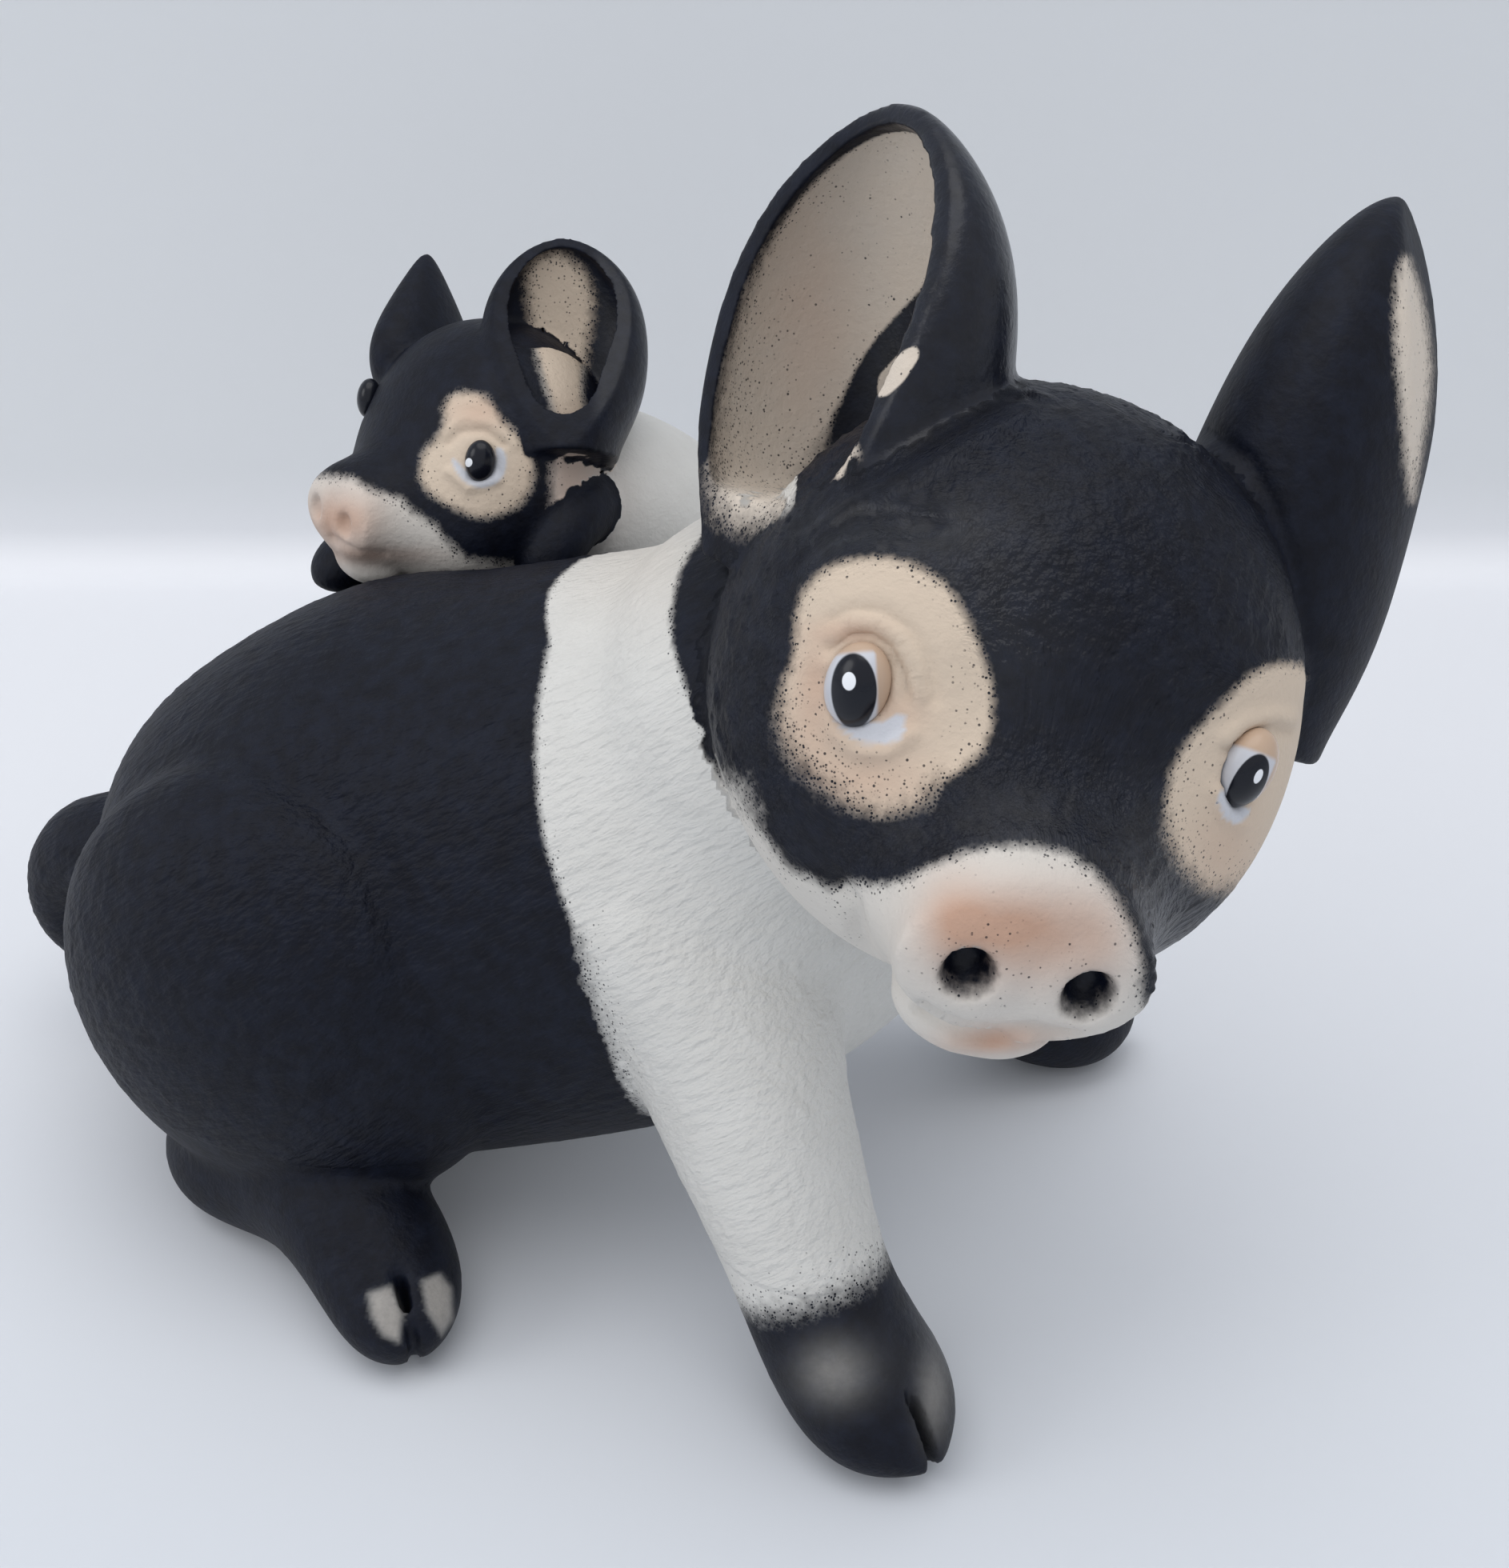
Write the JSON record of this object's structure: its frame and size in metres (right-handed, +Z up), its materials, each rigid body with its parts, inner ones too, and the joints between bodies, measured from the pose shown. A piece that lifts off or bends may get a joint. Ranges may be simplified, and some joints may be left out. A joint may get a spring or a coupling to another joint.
{
  "type": "pig figurine",
  "caption": "Seated sow ornament in matt bisque porcelain, black with a cream belt, with a piglet climbing over her back.",
  "frame": {"origin": "on the ground, at the middle of the flat seat under the sow's rump", "axes": "+X from the sow's tail towards her chest, +Z up, +Y towards her left side, the side the piglet climbs from"},
  "size_m": [0.2102, 0.1328, 0.1641],
  "materials": {
    "black_coat": "matt bisque, airbrushed blue-black over carved fur",
    "cream_coat": "matt bisque, off-white to cream",
    "eye_enamel": "gloss black enamel"
  },
  "bodies": {
    "root": {"sow_torso": "black_coat", "sow_head": "black_coat", "sow_near_ear": "black_coat", "sow_far_ear": "black_coat", "sow_near_foreleg": "cream_coat", "sow_far_foreleg": "cream_coat", "sow_near_hind_leg": "black_coat", "sow_far_hind_leg": "black_coat", "sow_tail": "black_coat", "sow_near_eye": "eye_enamel", "sow_far_eye": "eye_enamel", "piglet_torso": "cream_coat", "piglet_head": "black_coat", "piglet_near_ear": "black_coat", "piglet_far_ear": "black_coat", "piglet_near_foreleg": "black_coat", "piglet_far_foreleg": "black_coat", "piglet_near_hind_leg": "black_coat", "piglet_far_hind_leg": "black_coat", "piglet_tail": "black_coat", "piglet_near_eye": "eye_enamel", "piglet_far_eye": "eye_enamel"}
  },
  "joints": []
}
